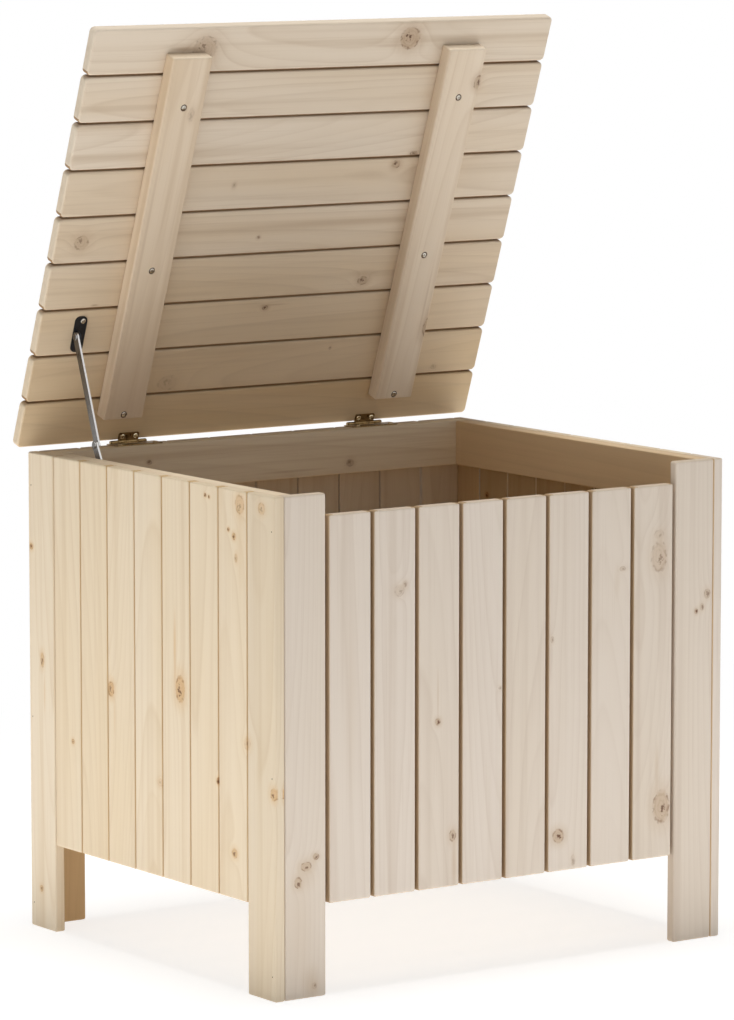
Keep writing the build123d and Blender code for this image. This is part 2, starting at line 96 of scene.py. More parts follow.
def span(points: Iterable[Vector]) -> tuple[Vector, Vector]:
    """Finds the low and the high corner of the box round some points."""
    columns = list(zip(*points))
    return Vector([min(column) for column in columns]), Vector([max(column) for column in columns])


class Value:
    """A socket of a shader that takes part in Python arithmetic."""

    def __init__(self, shader: "Shader", socket: Socket) -> None:
        """Keeps the socket and the shader that it belongs to."""
        self.shader = shader
        self.socket = socket

    def __add__(self, other: "Term") -> "Value":
        """Adds a value or a number."""
        return self.shader.maths("ADD", self, other)

    def __radd__(self, other: "Term") -> "Value":
        """Adds this value to a number."""
        return self.shader.maths("ADD", other, self)

    def __sub__(self, other: "Term") -> "Value":
        """Takes a value or a number away."""
        return self.shader.maths("SUBTRACT", self, other)

    def __rsub__(self, other: "Term") -> "Value":
        """Takes this value from a number."""
        return self.shader.maths("SUBTRACT", other, self)

    def __mul__(self, other: "Term") -> "Value":
        """Multiplies by a value or a number."""
        return self.shader.maths("MULTIPLY", self, other)

    def __rmul__(self, other: "Term") -> "Value":
        """Multiplies a number by this value."""
        return self.shader.maths("MULTIPLY", other, self)

    def __truediv__(self, other: "Term") -> "Value":
        """Divides by a value or a number."""
        return self.shader.maths("DIVIDE", self, other)

    def __rtruediv__(self, other: "Term") -> "Value":
        """Divides a number by this value."""
        return self.shader.maths("DIVIDE", other, self)

    def __abs__(self) -> "Value":
        """Drops the sign."""
        return self.shader.maths("ABSOLUTE", self)


Term = Union[Value, float, int]


class Shader:
    """The node tree of one material or of the world, filled node by node."""

    def __init__(self, owner: Union[bpy.types.Material, bpy.types.World]) -> None:
        """Empties the owner's node tree."""
        self.owner = owner
        owner.use_nodes = True
        self.tree = owner.node_tree
        self.tree.nodes.clear()

    @classmethod
    def named(cls, name: str) -> "Shader":
        """Starts an empty material of that name."""
        return cls(bpy.data.materials.new(name))

    def node(self, kind: str, settings: Optional[Mapping[str, Any]] = None,
             inputs: Optional[Mapping[Any, Any]] = None) -> bpy.types.Node:
        """Adds one node, with its settings first and its sockets after.

        Args:
            kind: The node's type.
            settings: Values of the node itself; stops gives a ramp's places and colours.
            inputs: A number, colour, Value or socket for each input, by name or place.

        Returns:
            The node.
        """
        made = self.tree.nodes.new(kind)
        for key, value in (settings or {}).items():
            if key == "stops":
                ramp = made.color_ramp
                while len(ramp.elements) < len(value):
                    ramp.elements.new(1.0)
                for element, (place, colour) in zip(ramp.elements, value):
                    element.position = place
                    element.color = colour
            else:
                setattr(made, key, value)
        for key, value in (inputs or {}).items():
            source = value.socket if isinstance(value, Value) else value
            if isinstance(source, Socket):
                self.tree.links.new(source, made.inputs[key])
            else:
                made.inputs[key].default_value = source
        return made

    def maths(self, operation: str, first: Term, second: Term = 0.0) -> Value:
        """Adds one Math node.

        Args:
            operation: The node's operation.
            first: Its first number.
            second: Its second number, where it has one.

        Returns:
            The node's result.
        """
        made = self.node("ShaderNodeMath", {"operation": operation}, {0: first, 1: second})
        return Value(self, made.outputs[0])

    def smooth(self, value: Term, low: float, high: float, top: float = 1.0) -> Value:
        """Rises smoothly from 0 at low to top at high; low may be above high.

        Args:
            value: What is measured.
            low: Where the result is 0.
            high: Where the result is top.
            top: The highest result.

        Returns:
            The smooth step.
        """
        inputs = {"Value": value, "From Min": low, "From Max": high, "To Min": 0.0, "To Max": top}
        made = self.node("ShaderNodeMapRange", {"interpolation_type": "SMOOTHSTEP"}, inputs)
        return Value(self, made.outputs[0])

    def blend(self, share: Term, first: Any, second: Any, how: str = "MIX") -> Socket:
        """Mixes two colours.

        Args:
            share: How much of the second colour.
            first: The colour below.
            second: The colour on top.
            how: The blend's name.

        Returns:
            The mixed colour's socket.
        """
        made = self.node("ShaderNodeMix", {"data_type": "RGBA", "blend_type": how, "clamp_factor": True},
                         {0: share, 6: first, 7: second})
        return made.outputs[2]

    def vectors(self, operation: str, first: Any, second: Any, third: Any = (0, 0, 0)) -> bpy.types.Node:
        """Adds one Vector Math node.

        Args:
            operation: The node's operation.
            first: Its first vector.
            second: Its second vector.
            third: Its third vector, where it has one.

        Returns:
            The node.
        """
        return self.node("ShaderNodeVectorMath", {"operation": operation}, {0: first, 1: second, 2: third})

    def noise(self, place: Socket, stretch: Triple, detail: float = 2.0, rough: float = 0.5) -> Value:
        """Gives cloudy noise from 0 to 1, with its own scale on each axis.

        Args:
            place: The coordinates, in metres.
            stretch: Waves to the metre on each axis.
            detail: Octaves of finer noise.
            rough: How strong the finer noise is.

        Returns:
            The noise.
        """
        scaled = self.vectors("MULTIPLY", place, stretch)
        inputs = {"Vector": scaled.outputs[0], "Scale": 1.0, "Detail": detail, "Roughness": rough}
        return Value(self, self.node("ShaderNodeTexNoise", None, inputs).outputs[0])

    def rim(self, value: Term, half: float, band: Pair, top: float = 1.0) -> Value:
        """Rises smoothly from 0 to top between two depths below a surface.

        Args:
            value: The distance from the middle.
            half: How far the surface is from the middle.
            band: The depths at which the result is 0 and at which it is top.
            top: The highest result.

        Returns:
            The smooth step.
        """
        return self.smooth(value, half - band[0], half - band[1], top)

    def parts(self, vector: Socket) -> tuple[Value, Value, Value]:
        """Takes a vector apart into its three numbers."""
        outputs = self.node("ShaderNodeSeparateXYZ", None, {0: vector}).outputs
        return Value(self, outputs[0]), Value(self, outputs[1]), Value(self, outputs[2])

    def reach(self, vector: Any) -> Value:
        """Gives a vector's length."""
        return Value(self, self.vectors("LENGTH", vector, (0, 0, 0)).outputs["Value"])

    def chance(self, number: Term) -> bpy.types.Node:
        """Draws a random number and colour for each whole number."""
        return self.node("ShaderNodeTexWhiteNoise", {"noise_dimensions": "1D"}, {"W": number})

    def matt(self, colour: Colour) -> Socket:
        """Gives a matt surface of one colour."""
        return self.node("ShaderNodeBsdfDiffuse", None, {"Color": colour}).outputs[0]

    def glow(self, strength: float) -> Socket:
        """Gives a surface that shines white."""
        return self.node("ShaderNodeEmission", None, {"Color": WHITE, "Strength": strength}).outputs[0]

    def both(self, first: Socket, second: Socket) -> Socket:
        """Adds two surfaces."""
        return self.node("ShaderNodeAddShader", None, {0: first, 1: second}).outputs[0]

    def either(self, share: Value, first: Socket, second: Socket) -> Socket:
        """Mixes two surfaces, the second by a share."""
        return self.node("ShaderNodeMixShader", None, {0: share, 1: first, 2: second}).outputs[0]

    def close(self, surface: Socket) -> Union[bpy.types.Material, bpy.types.World]:
        """Joins a finished surface to the output, and gives the material or world back."""
        kind = "World" if isinstance(self.owner, bpy.types.World) else "Material"
        self.node("ShaderNodeOutput" + kind, None, {"Surface": surface})
        return self.owner


class Grain(Enum):
    """Which way a board's grain runs, and which way the board is wide."""

    UPRIGHT_FRONT = ((0.0, 0.0, 1.0), (1.0, 0.0, 0.0))
    UPRIGHT_SIDE = ((0.0, 0.0, 1.0), (0.0, 1.0, 0.0))
    LEVEL_BACK = ((1.0, 0.0, 0.0), (0.0, 0.0, 1.0))
    LEVEL_SIDE = ((0.0, 1.0, 0.0), (0.0, 0.0, 1.0))
    FLOOR = ((1.0, 0.0, 0.0), (0.0, 1.0, 0.0))
    LID = ((1.0, 0.0, 0.0), LID_RISE)
    BATTEN = (LID_RISE, (1.0, 0.0, 0.0))


@dataclass(frozen=True)
class Knot:
    """A knot on a wall, in millimetres on that wall; reach stretches it along the grain."""

    across: float
    along: float
    radius: float
    reach: float = 1.2
    strength: float = 0.8

    @property
    def half_width(self) -> float:
        """Gives the knot's half width, across the grain."""
        return self.radius

    @property
    def half_length(self) -> float:
        """Gives the knot's half length, along the grain."""
        return self.radius * self.reach


@dataclass(frozen=True)
class Streak:
    """A brown resin streak along the grain, in millimetres on its wall."""

    across: float
    along: float
    half_width: float
    half_length: float
    strength: float = 0.5


Mark = Union[Knot, Streak]


@dataclass
class Board:
    """One board, or a row of like boards, with its place and the way its grain runs.

    Joined gives the sides, 1 or -1 across the grain, on which another board meets it.
    Drilled tells of screw holes.
    """

    node: Piece
    grain: Grain
    pitch: float = 0.0
    joined: tuple[int, ...] = ()
    drilled: bool = False
    knots: list[tuple[Knot, float, float]] = field(default_factory=list)
    streaks: list[tuple[Streak, float, float]] = field(default_factory=list)

    def __post_init__(self) -> None:
        """Measures the board along its own axes."""
        along, across = (Vector(axis) for axis in self.grain.value)
        self.axes = Matrix((along, across, along.cross(across)))
        low, high = span(self.axes @ vertex.co for vertex in self.node.data.vertices)
        self.half = (high - low) / 2
        self.centre = self.axes.transposed() @ ((high + low) / 2)
        self.inward = self.facing_in()
        boards = round(2 * self.half.y / self.pitch) if self.pitch else 1
        self.width = 2 * self.half.y - (boards - 1) * self.pitch

    def facing_in(self) -> int:
        """Tells which of a wall board's faces looks into the box.

        Returns:
            1 or -1 for the face on that side of the board's third axis, or 0 for a board not in a wall.
        """
        if self.grain not in (Grain.UPRIGHT_FRONT, Grain.UPRIGHT_SIDE):
            return 0
        middle = Vector((0.0, WALL_SHIFT * MM, self.centre.z))
        return -1 if self.axes[2].dot(self.centre - middle) > 0 else 1

    def mark(self, marks: Iterable[tuple[Mark, Vector]], spill: float = 0.004) -> None:
        """Keeps the marks that lie on this board, or spill over from its neighbour's edge.

        Args:
            marks: Marks, with their places in the shared frame.
            spill: How far outside the board a mark may lie, in metres.
        """
        for mark, place in marks:
            local = self.axes @ (place - self.centre)
            if abs(local.x) < self.half.x + spill and abs(local.y) < self.half.y + spill:
                kept = self.knots if isinstance(mark, Knot) else self.streaks
                kept.append((mark, local.x, local.y))


@dataclass(frozen=True)
class Pine:
    """Planed bare pine: faint growth rings, fibre, and knots with the grain flowing round them."""

    name: str
    early: Colour
    late: Colour
    warm: Colour
    resin: Colour
    disc: Colour
    bark: Colour
    heart: Colour
    end_grain: Colour
    contrast: float = 0.4
    # The next colour is painted shade, multiplied onto the faces that look into the box.
    inner_face_shade: Colour = paint(230, 210, 182)
    # The next colour is painted shade on the sides of boards, in the gaps where they meet.
    joint: Colour = paint(176, 152, 124)
    fibre_waves: Triple = (8.0, 620.0, 620.0)
    streak_waves: Triple = (1.1, 75.0, 75.0)
    cloud_waves: Triple = (2.0, 12.0, 12.0)
    sway_waves: Triple = (1.6, 8.0, 8.0)
    ripple_waves: Triple = (9.0, 60.0, 60.0)
    rag_waves: Triple = (330.0, 330.0, 40.0)
    patch_waves: Triple = (150.0, 150.0, 20.0)
    row_shuffle: Triple = (1.7, 0.04, 0.03)
    ring_levels: Sequence[Pair] = ((0.0, 0.1), (0.35, 0.12), (0.75, 0.5), (0.9, 1.0), (1.0, 0.12))

    def places(self, shader: Shader, board: Board, rng: random.Random) -> tuple[Socket, Socket]:
        """Gives the place along, across and through the board.

        Args:
            shader: The material in the making.
            board: The board or row.
            rng: The board's own random numbers.

        Returns:
            The place from the middle of the board or row, and the place in the timber it was sawn from.
        """
        place = shader.node("ShaderNodeTexCoord").outputs["Object"]
        turn = board.axes.transposed().to_euler("XYZ")
        inputs = {"Vector": place, "Location": tuple(board.centre), "Rotation": tuple(turn)}
        local = shader.node("ShaderNodeMapping", {"vector_type": "TEXTURE"}, inputs).outputs[0]
        if not board.pitch:
            return local, local
        along, across, through = shader.parts(local)
        from_edge = across + board.half.y
        number = shader.maths("FLOOR", from_edge / board.pitch)
        inside = from_edge - number * board.pitch - board.width / 2
        own = shader.node("ShaderNodeCombineXYZ", None, {0: along, 1: inside, 2: through}).outputs[0]
        draw = shader.chance(number + rng.uniform(0, 50)).outputs["Color"]
        return local, shader.vectors("MULTIPLY_ADD", draw, self.row_shuffle, own).outputs[0]

    def knot_steps(self, shader: Shader, mark: Mark, along: float, across: float, place: Socket) -> Socket:
        """Gives the place round a mark, in steps of its own half width and half length.

        Args:
            shader: The material in the making.
            mark: The knot or streak.
            along: The mark's place along the board, in metres.
            across: Its place across the board.
            place: The place from the middle of the board.

        Returns:
            The place's socket.
        """
        half_width = mark.half_width * MM
        half_length = mark.half_length * MM
        scale = (1 / half_length, 1 / half_width, 0.0)
        offset = (-along / half_length, -across / half_width, 0.0)
        return shader.vectors("MULTIPLY_ADD", place, scale, offset).outputs[0]

    def rings(self, shader: Shader, own: Socket, swell: Term, rng: random.Random) -> Value:
        """Lays growth rings round a pith that wanders along the board.

        Args:
            shader: The material in the making.
            own: The place in the timber.
            swell: How far knots push the rings out, in metres.
            rng: The board's own random numbers.

        Returns:
            How dark the timber is, ring by ring.
        """
        along, across, through = shader.parts(own)
        sway = shader.noise(own, self.sway_waves) - 0.5
        ripple = shader.noise(own, self.ripple_waves) - 0.5
        pith_across = rng.uniform(-0.035, 0.035)
        pith_through = rng.choice((-1, 1)) * rng.uniform(0.02, 0.08)
        lean_across = rng.uniform(-0.03, 0.03)
        lean_through = rng.choice((-1, 1)) * rng.uniform(0.01, 0.05)
        sideways = across - pith_across + along * lean_across + sway * 0.02 + ripple * 0.002
        depth = through - pith_through + along * lean_through + sway * 0.012
        flat = shader.node("ShaderNodeCombineXYZ", None, {0: sideways, 1: depth}).outputs[0]
        phase = (shader.reach(flat) + swell) / rng.uniform(0.0034, 0.0058)
        stops = [(place, (level, level, level, 1.0)) for place, level in self.ring_levels]
        ramp = shader.node("ShaderNodeValToRGB", {"stops": stops}, {0: shader.maths("FRACT", phase)})
        band = Value(shader, ramp.outputs[0])
        strong = Value(shader, shader.chance(shader.maths("FLOOR", phase)).outputs["Value"])
        return band * (strong * 0.8 + 0.2)

    def dress(self, board: Board, seed: int, warmth_and_shade: Optional[float] = None) -> None:
        """Makes the board's own timber and puts it on the board.

        Args:
            board: The board or row.
            seed: Starts the board's random numbers.
            warmth_and_shade: How much of the warm, darker tone the timber has, where it isn't left to chance;
                on the lid boards and the right rail it is painted shade, and the palest tone on the back rail
                is painted light.
        """
        rng = random.Random(seed)
        shader = Shader.named(f"{self.name}_{board.node.name}")
        local, own = self.places(shader, board, rng)
        timber = shader.vectors("ADD", own, tuple(rng.uniform(-4, 4) for _ in range(3))).outputs[0]
        spots = [(knot, self.knot_steps(shader, knot, along, across, local))
                 for knot, along, across in board.knots]
        swell: Term = 0.0
        for knot, spot in spots:
            steps = shader.reach(spot)
            swell = swell + 1.3 * knot.half_width * MM / (steps * steps * 0.5 + 1.0)
        ring = self.rings(shader, own, swell, rng)
        fibre = shader.noise(timber, self.fibre_waves, 3.0)
        streaky = shader.noise(timber, self.streak_waves)
        cloud = shader.noise(timber, self.cloud_waves)
        tint = rng.uniform(0.0, 0.55) if warmth_and_shade is None else warmth_and_shade
        colour = shader.blend(shader.smooth(cloud, 0.3, 0.75, 0.36) + (tint - 0.06), self.early, self.warm)
        colour = shader.blend(ring * self.contrast, colour, self.late)
        colour = shader.blend(shader.smooth(streaky, 0.46, 0.78, 0.46), colour, self.late)
        colour = shader.blend(shader.smooth(fibre, 0.52, 0.85, 0.3), colour, self.late)
        for streak, along, across in board.streaks:
            steps = shader.reach(self.knot_steps(shader, streak, along, across, local)) + (fibre - 0.5) * 0.7
            colour = shader.blend(shader.smooth(steps, 1.15, 0.1, streak.strength), colour, self.resin)
        height = ring * 0.4 + fibre * 0.8
        end, _, depth = shader.parts(local)
        if spots:
            rag = shader.noise(local, self.rag_waves, 3.0)
            patch = shader.noise(local, self.patch_waves, 1.0)
            knotty = colour
            for knot, spot in spots:
                knotty = self.knot(shader, knotty, knot, spot, rag, patch)
            colour = shader.blend(shader.rim(abs(depth), board.half.z, KNOT_SKIN), colour, knotty)
        colour = shader.blend(shader.rim(abs(end), board.half.x, SAWN_END, 0.45), colour, self.end_grain)
        # Painted shade: the faces that look into the box are multiplied darker and warmer.
        if board.inward:
            inner = shader.rim(depth * board.inward, board.half.z, INNER_FACE)
            colour = shader.blend(inner, colour, self.inner_face_shade, "MULTIPLY")
        colour = self.shade(shader, colour, board, local)
        bump = shader.node("ShaderNodeBump", None, {"Strength": 0.16, "Distance": 0.4 * MM, "Height": height})
        surface = shader.node("ShaderNodeBsdfPrincipled", None, {
            "Base Color": colour, "Roughness": 0.62 + streaky * 0.12, "Specular IOR Level": 0.25,
            "Normal": bump.outputs[0]})
        wear(board.node, shader.close(surface.outputs[0]))

    def shade(self, shader: Shader, colour: Socket, board: Board, local: Socket) -> Socket:
        """Paints shade on the sides of boards where they meet another board, in the gaps between them, and on
        the walls of screw holes.

        Args:
            shader: The material in the making.
            colour: The timber's colour.
            board: The board or row.
            local: The place from the middle of the board.

        Returns:
            The colour with its dark places.
        """
        along, across, through = shader.parts(local)
        below = shader.rim(abs(through), board.half.z, BELOW_FACE)
        # Painted shade on the board's sides in the gap to each neighbour.
        for side in board.joined:
            edge = shader.rim(across * side, board.half.y, JOINED_EDGE)
            colour = shader.blend(edge * below, colour, self.joint, "MULTIPLY")
        # Painted shade: the walls of the screw holes take the dark colour of a knot's heart.
        if board.drilled:
            clear_of_edge = shader.rim(abs(across), board.half.y, HOLE_FROM_EDGE)
            clear_of_end = shader.rim(abs(along), board.half.x, HOLE_FROM_END)
            colour = shader.blend(clear_of_edge * clear_of_end * below, colour, self.heart)
        return colour

    def knot(self, shader: Shader, colour: Socket, knot: Knot, spot: Socket,
             rag: Value, patch: Value) -> Socket:
        """Lays one knot over the timber: a soft halo, a tan disc, a part rim of bark and a flecked heart.

        Args:
            shader: The material in the making.
            colour: The timber below.
            knot: The knot.
            spot: The place round the knot, in its own radii.
            rag: Fine noise that makes the edges ragged.
            patch: Broad noise that leaves parts of the rim out.

        Returns:
            The colour with the knot on it.
        """
        steps = shader.reach(spot) + (rag - 0.5) * 0.42 + (patch - 0.5) * 0.35
        halo = shader.smooth(steps, 2.5, 0.7, 0.45 * knot.strength)
        disc = shader.smooth(steps, 1.2, 0.78, 0.75 * knot.strength)
        year = shader.smooth(shader.maths("SINE", steps * (1.2 * knot.radius + 6.0)), 0.0, 1.0, 0.22)
        rim = shader.smooth(abs(steps - 0.98), 0.22, 0.02)
        rim = rim * shader.smooth(patch, 0.44, 0.62, 0.8 * knot.strength)
        heart_size = min(0.95, 1.9 / knot.radius + 0.16)
        off_centre = shader.vectors("ADD", spot, (0.22 - 0.15 * heart_size, -0.16, 0.0)).outputs[0]
        inner = shader.reach(off_centre) + (rag - 0.5) * 1.7
        heart = shader.smooth(inner, heart_size, heart_size * 0.2, knot.strength)
        colour = shader.blend(halo, colour, self.resin)
        colour = shader.blend(disc, colour, self.disc)
        colour = shader.blend(disc * year, colour, self.bark)
        colour = shader.blend(rim, colour, self.bark)
        return shader.blend(heart, colour, self.heart)


def wear(piece: Piece, material: bpy.types.Material) -> None:
    """Puts one material on a piece, in place of what it had."""
    piece.data.materials.clear()
    piece.data.materials.append(material)


class Coat(Enum):
    """How a metal is finished: where blotches start, are full and how strong, then its scratches' waves."""

    BRUSHED = ((0.45, 0.8, 0.5), (2600.0, 700.0, 90.0))
    TARNISHED = ((0.48, 0.66, 0.85), (1400.0, 1400.0, 1400.0))
    PAINTED = ((0.6, 0.72, 0.35), (1400.0, 1400.0, 1400.0))


@dataclass(frozen=True)
class Metal:
    """A metal finish: its colour, the colour where it is worn or tarnished, and how it is finished.

    A strip that stands on edge along X may have an edge, a bright colour painted on its narrow sides as a
    painted highlight.
    """

    name: str
    coat: Coat
    base: Colour
    worn: Colour
    metallic: float
    roughness: float
    edge: Optional[Colour] = None
    blotch_waves: Triple = (260.0, 260.0, 260.0)

    def make(self) -> bpy.types.Material:
        """Makes the finish's material.

        Returns:
            The material.
        """
        shader = Shader.named(self.name)
        place = shader.node("ShaderNodeTexCoord").outputs["Object"]
        blotches, scratch_waves = self.coat.value
        blotch = shader.noise(place, self.blotch_waves, 4.0, 0.6)
        scratch = shader.noise(place, scratch_waves, 3.0)
        colour = shader.blend(shader.smooth(blotch, *blotches), self.base, self.worn)
        # Painted highlight: the strip's narrow sides take the bright edge colour.
        if self.edge:
            facing = abs(shader.parts(shader.node("ShaderNodeNewGeometry").outputs["Normal"])[0])
            colour = shader.blend(shader.smooth(facing, 0.8, 0.3), colour, self.edge)
        rough = self.roughness + (scratch - 0.5) * 0.22 + (blotch - 0.5) * 0.12
        bump = shader.node("ShaderNodeBump", None, {
            "Strength": 0.18, "Distance": 0.1 * MM, "Height": scratch + blotch})
        finish = shader.node("ShaderNodeBsdfPrincipled", None, {
            "Base Color": colour, "Roughness": rough, "Metallic": self.metallic, "Normal": bump.outputs[0]})
        return shader.close(finish.outputs[0])


BRONZE = Metal("antique_bronze", Coat.TARNISHED, paint(142, 118, 80), paint(74, 54, 32), 1.0, 0.34)
BRASS = Metal("antique_brass", Coat.TARNISHED, paint(212, 200, 172), paint(140, 112, 72), 1.0, 0.24)
# The zinc's last colour is a painted highlight on the arms' narrow sides.
ZINC = Metal("zinc_strip", Coat.BRUSHED, paint(122, 120, 118), paint(92, 90, 88), 1.0, 0.3,
             paint(214, 212, 210))
BLACK = Metal("black_bracket", Coat.PAINTED, paint(40, 42, 46), paint(84, 88, 94), 0.5, 0.42)
SCREW = Metal("zinc_screw", Coat.BRUSHED, paint(196, 190, 178), paint(120, 112, 100), 1.0, 0.2)
NAIL = Metal("nail_head", Coat.TARNISHED, paint(104, 84, 62), paint(70, 52, 36), 0.6, 0.6)

FRONT_PINE = Pine(
    "front_pine", early=paint(220, 208, 195), late=paint(196, 178, 160), warm=paint(216, 202, 184),
    resin=paint(198, 176, 150), disc=paint(192, 168, 142), bark=paint(136, 104, 80), heart=paint(106, 72, 52),
    end_grain=paint(212, 190, 160), contrast=0.32, inner_face_shade=paint(254, 248, 236), joint=paint(218, 200, 174))
# The leg pine differs only in a darker, warmer painted shade on the faces that look into the box.
LEG_PINE = replace(FRONT_PINE, name="leg_pine", inner_face_shade=paint(241, 219, 182))
SIDE_PINE = Pine(
    "side_pine", early=paint(234, 219, 196), late=paint(214, 190, 156), warm=paint(230, 208, 172),
    resin=paint(216, 178, 124), disc=paint(208, 168, 118), bark=paint(164, 116, 70), heart=paint(112, 74, 44),
    end_grain=paint(230, 212, 184), contrast=0.42, inner_face_shade=paint(208, 192, 166), joint=paint(234, 218, 192))
LEFT_LEG_PINE = replace(
    SIDE_PINE, name="left_leg_pine", early=paint(225, 210, 187), late=paint(206, 183, 150),
    warm=paint(221, 200, 165))
LID_PINE = Pine(
    "lid_pine", early=paint(232, 217, 197), late=paint(190, 164, 134), warm=paint(214, 187, 147),
    resin=paint(184, 154, 124), disc=paint(188, 162, 134), bark=paint(124, 92, 68), heart=paint(98, 66, 46),
    end_grain=paint(236, 222, 200), contrast=0.3)
BATTEN_PINE = replace(
    LID_PINE, name="batten_pine", early=paint(238, 222, 201), late=paint(202, 175, 143),
    warm=paint(214, 187, 149))
INNER_PINE = Pine(
    "inner_pine", early=paint(241, 225, 199), late=paint(200, 172, 138), warm=paint(218, 190, 152),
    resin=paint(176, 138, 100), disc=paint(170, 132, 98), bark=paint(116, 82, 58), heart=paint(92, 60, 42),
    end_grain=paint(214, 190, 156), contrast=0.32)


@dataclass(frozen=True)
class DomedScrews:
    """Screws with domed, crossed heads that take the place of a node of plain ones."""

    finish: Metal
    slot: str
    head_radius: float
    head_height: float
    shank_radius: float
    shank_length: float
    cross_length: float = 3.4 * MM
    cross_width: float = 0.75 * MM
    cross_depth: float = 0.55 * MM
    skirt: float = 0.3 * MM
    head_sides: int = 28
    dome_steps: Sequence[Pair] = ((0.45, 0.9), (0.35, 0.8), (0.2, 0.55))
    smooth_angle: float = math.radians(35)

    def head(self, name: str) -> Piece:
        """Models one dome-headed screw at the origin, its head upwards.

        Args:
            name: The object's name.

        Returns:
            The screw.
        """
        bpy.ops.object.select_all(action="DESELECT")
        bpy.ops.mesh.primitive_cylinder_add(vertices=self.head_sides, radius=self.head_radius,
                                            depth=self.skirt, location=(0, 0, self.skirt / 2))
        screw = bpy.context.active_object
        screw.name = name
        bpy.ops.object.transform_apply(location=True, rotation=True, scale=True)
        bpy.ops.object.mode_set(mode="EDIT")
        bpy.ops.mesh.select_mode(type="FACE")
        self.pick(screw, Vector((0, 0, 1)))
        rest = self.head_height - self.skirt
        for share, size in self.dome_steps:
            bpy.ops.mesh.extrude_region_move(TRANSFORM_OT_translate={"value": (0, 0, rest * share)})
            bpy.ops.transform.resize(value=(size, size, 1))
        self.pick(screw, Vector((0, 0, -1)))
        bpy.ops.mesh.inset(thickness=self.head_radius - self.shank_radius)
        bpy.ops.mesh.extrude_region_move(TRANSFORM_OT_translate={"value": (0, 0, -self.shank_length)})
        bpy.ops.object.mode_set(mode="OBJECT")
        for bar in ((self.cross_length, self.cross_width), (self.cross_width, self.cross_length)):
            self.slit(screw, bar)
        return screw

    @staticmethod
    def pick(piece: Piece, normal: Vector) -> None:
        """Selects, in edit mode, only the faces that point one way."""
        bpy.ops.mesh.select_all(action="DESELECT")
        bpy.ops.object.mode_set(mode="OBJECT")
        for polygon in piece.data.polygons:
            polygon.select = polygon.normal.dot(normal) > 0.99
        bpy.ops.object.mode_set(mode="EDIT")

    def slit(self, screw: Piece, bar: tuple[float, float]) -> None:
        """Cuts one bar of the cross into a screw's head.

        Args:
            screw: The screw, at the origin.
            bar: The bar's length along x and along y.
        """
        bpy.ops.object.select_all(action="DESELECT")
        bpy.ops.mesh.primitive_cube_add(size=1, location=(0, 0, self.head_height))
        cutter = bpy.context.active_object
        bpy.ops.object.mode_set(mode="EDIT")
        bpy.ops.transform.resize(value=(*bar, 2 * self.cross_depth))
        bpy.ops.object.mode_set(mode="OBJECT")
        cut = screw.modifiers.new("slit", "BOOLEAN")
        cut.operation = "DIFFERENCE"
        cut.object = cutter
        bpy.context.view_layer.objects.active = screw
        bpy.ops.object.modifier_apply(modifier="slit")
        bpy.data.objects.remove(cutter)

    def set_on(self, node: Piece, name: str, up: Vector, body: str) -> None:
        """Sets a domed screw on each of a node's screws and lets the row stand for that node.

        Args:
            node: The CAD node of plain screws.
            name: The new piece's name.
            up: The way the heads point.
            body: The CAD body that carries them.
        """
        pieces = []
        master = self.head(name)
        turn = Vector((0, 0, 1)).rotation_difference(up)
        for centre in self.head_centres(node, up):
            copy = master.copy()
            copy.data = master.data.copy()
            bpy.context.scene.collection.objects.link(copy)
            copy.rotation_mode = "QUATERNION"
            copy.rotation_quaternion = turn
            copy.location = centre
            pieces.append(copy)
        bpy.data.objects.remove(master)
        bpy.ops.object.select_all(action="DESELECT")
        for piece in pieces:
            piece.select_set(True)
        bpy.context.view_layer.objects.active = pieces[0]
        bpy.ops.object.transform_apply(location=True, rotation=True, scale=True)
        bpy.ops.object.join()
        row = bpy.context.active_object
        row.name = name
        row.data.name = name
        bpy.ops.object.shade_smooth_by_angle(angle=self.smooth_angle)
        wear(row, self.finish.make())
        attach(row, body)
        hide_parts(node.name)
        LOG.info("%s: %d domed screws", name, len(pieces))

    def head_centres(self, node: Piece, up: Vector) -> list[Vector]:
        """Finds the middle of each screw's head from the tops of the node's solids.

        Args:
            node: The plain screws.
            up: The way their heads point.

        Returns:
            The heads' middles.
        """
        level = max(v.co.dot(up) for v in node.data.vertices)
        groups: list[list[Vector]] = []
        for point in (v.co.copy() for v in node.data.vertices if v.co.dot(up) > level - 1e-5):
            near = [g for g in groups if (g[0] - point).length < 3 * self.head_radius]
            if near:
                near[0].append(point)
            else:
                groups.append([point])
        return [(low + high) / 2 for low, high in map(span, groups)]


LID_UNDERSIDE = Vector((0.0, -math.sin(LID_ANGLE), -math.cos(LID_ANGLE)))
HINGE_SCREWS = DomedScrews(BRASS, "hinge_screw", 2.9 * MM, 1.15 * MM, 1.2 * MM, 7.0 * MM)
BATTEN_SCREWS = DomedScrews(SCREW, "screw_steel", 2.8 * MM, 0.8 * MM, 1.8 * MM, 18.0 * MM, 2.6 * MM)
STAY_SCREWS = DomedScrews(SCREW, "screw_steel", 3.1 * MM, 1.1 * MM, 1.4 * MM, 9.0 * MM)


